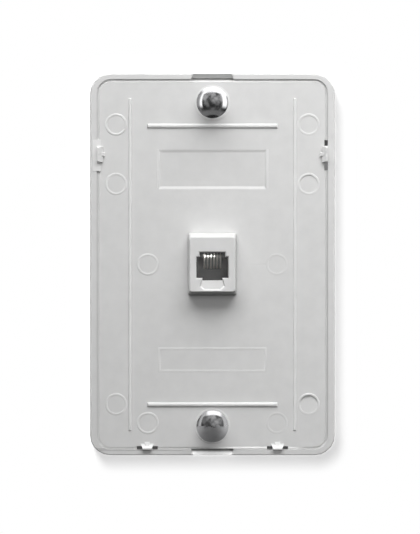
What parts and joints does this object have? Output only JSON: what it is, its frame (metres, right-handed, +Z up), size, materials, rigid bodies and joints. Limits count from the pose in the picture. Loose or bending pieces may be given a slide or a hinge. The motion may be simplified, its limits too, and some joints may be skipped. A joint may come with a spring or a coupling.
{
  "type": "telephone wall socket",
  "caption": "Pale wall plate with a raised modular telephone jack at its centre and two headed studs above and below it that a wall telephone hangs on.",
  "frame": {"origin": "middle of the plate in the wall plane that its rear rim rests on", "axes": "+Z up along the plate, +Y into the wall so the front faces -Y, +X to the right seen from the front"},
  "size_m": [0.0776, 0.0241, 0.1206],
  "materials": {
    "plate_plastic": "satin moulded",
    "jack_plastic": "satin moulded",
    "insert_plastic": "satin moulded",
    "gilt_wire": "gold plated",
    "polished_steel": "polished",
    "zinc_steel": "zinc plated",
    "tinned_brass": "tinned",
    "white_insulation": "extruded",
    "black_insulation": "extruded",
    "red_insulation": "extruded",
    "green_insulation": "extruded",
    "yellow_insulation": "extruded",
    "blue_insulation": "extruded"
  },
  "bodies": {
    "root": {"mounting_base": "plate_plastic", "face_plate": "plate_plastic", "jack_housing": "jack_plastic", "jack_insert": "insert_plastic", "stud_upper": "polished_steel", "stud_lower": "polished_steel", "stud_nut_upper": "zinc_steel", "stud_nut_lower": "zinc_steel", "contact_wire_1": "gilt_wire", "contact_wire_2": "gilt_wire", "contact_wire_3": "gilt_wire", "contact_wire_4": "gilt_wire", "contact_wire_5": "gilt_wire", "contact_wire_6": "gilt_wire", "lead_white": "white_insulation", "lead_black": "black_insulation", "lead_red": "red_insulation", "lead_green": "green_insulation", "lead_yellow": "yellow_insulation", "lead_blue": "blue_insulation", "spade_lug_1": "tinned_brass", "terminal_washer_1": "zinc_steel", "terminal_screw_1": "zinc_steel", "spade_lug_2": "tinned_brass", "terminal_washer_2": "zinc_steel", "terminal_screw_2": "zinc_steel", "spade_lug_3": "tinned_brass", "terminal_washer_3": "zinc_steel", "terminal_screw_3": "zinc_steel", "spade_lug_4": "tinned_brass", "terminal_washer_4": "zinc_steel", "terminal_screw_4": "zinc_steel", "spade_lug_5": "tinned_brass", "terminal_washer_5": "zinc_steel", "terminal_screw_5": "zinc_steel", "spade_lug_6": "tinned_brass", "terminal_washer_6": "zinc_steel", "terminal_screw_6": "zinc_steel"}
  },
  "joints": []
}
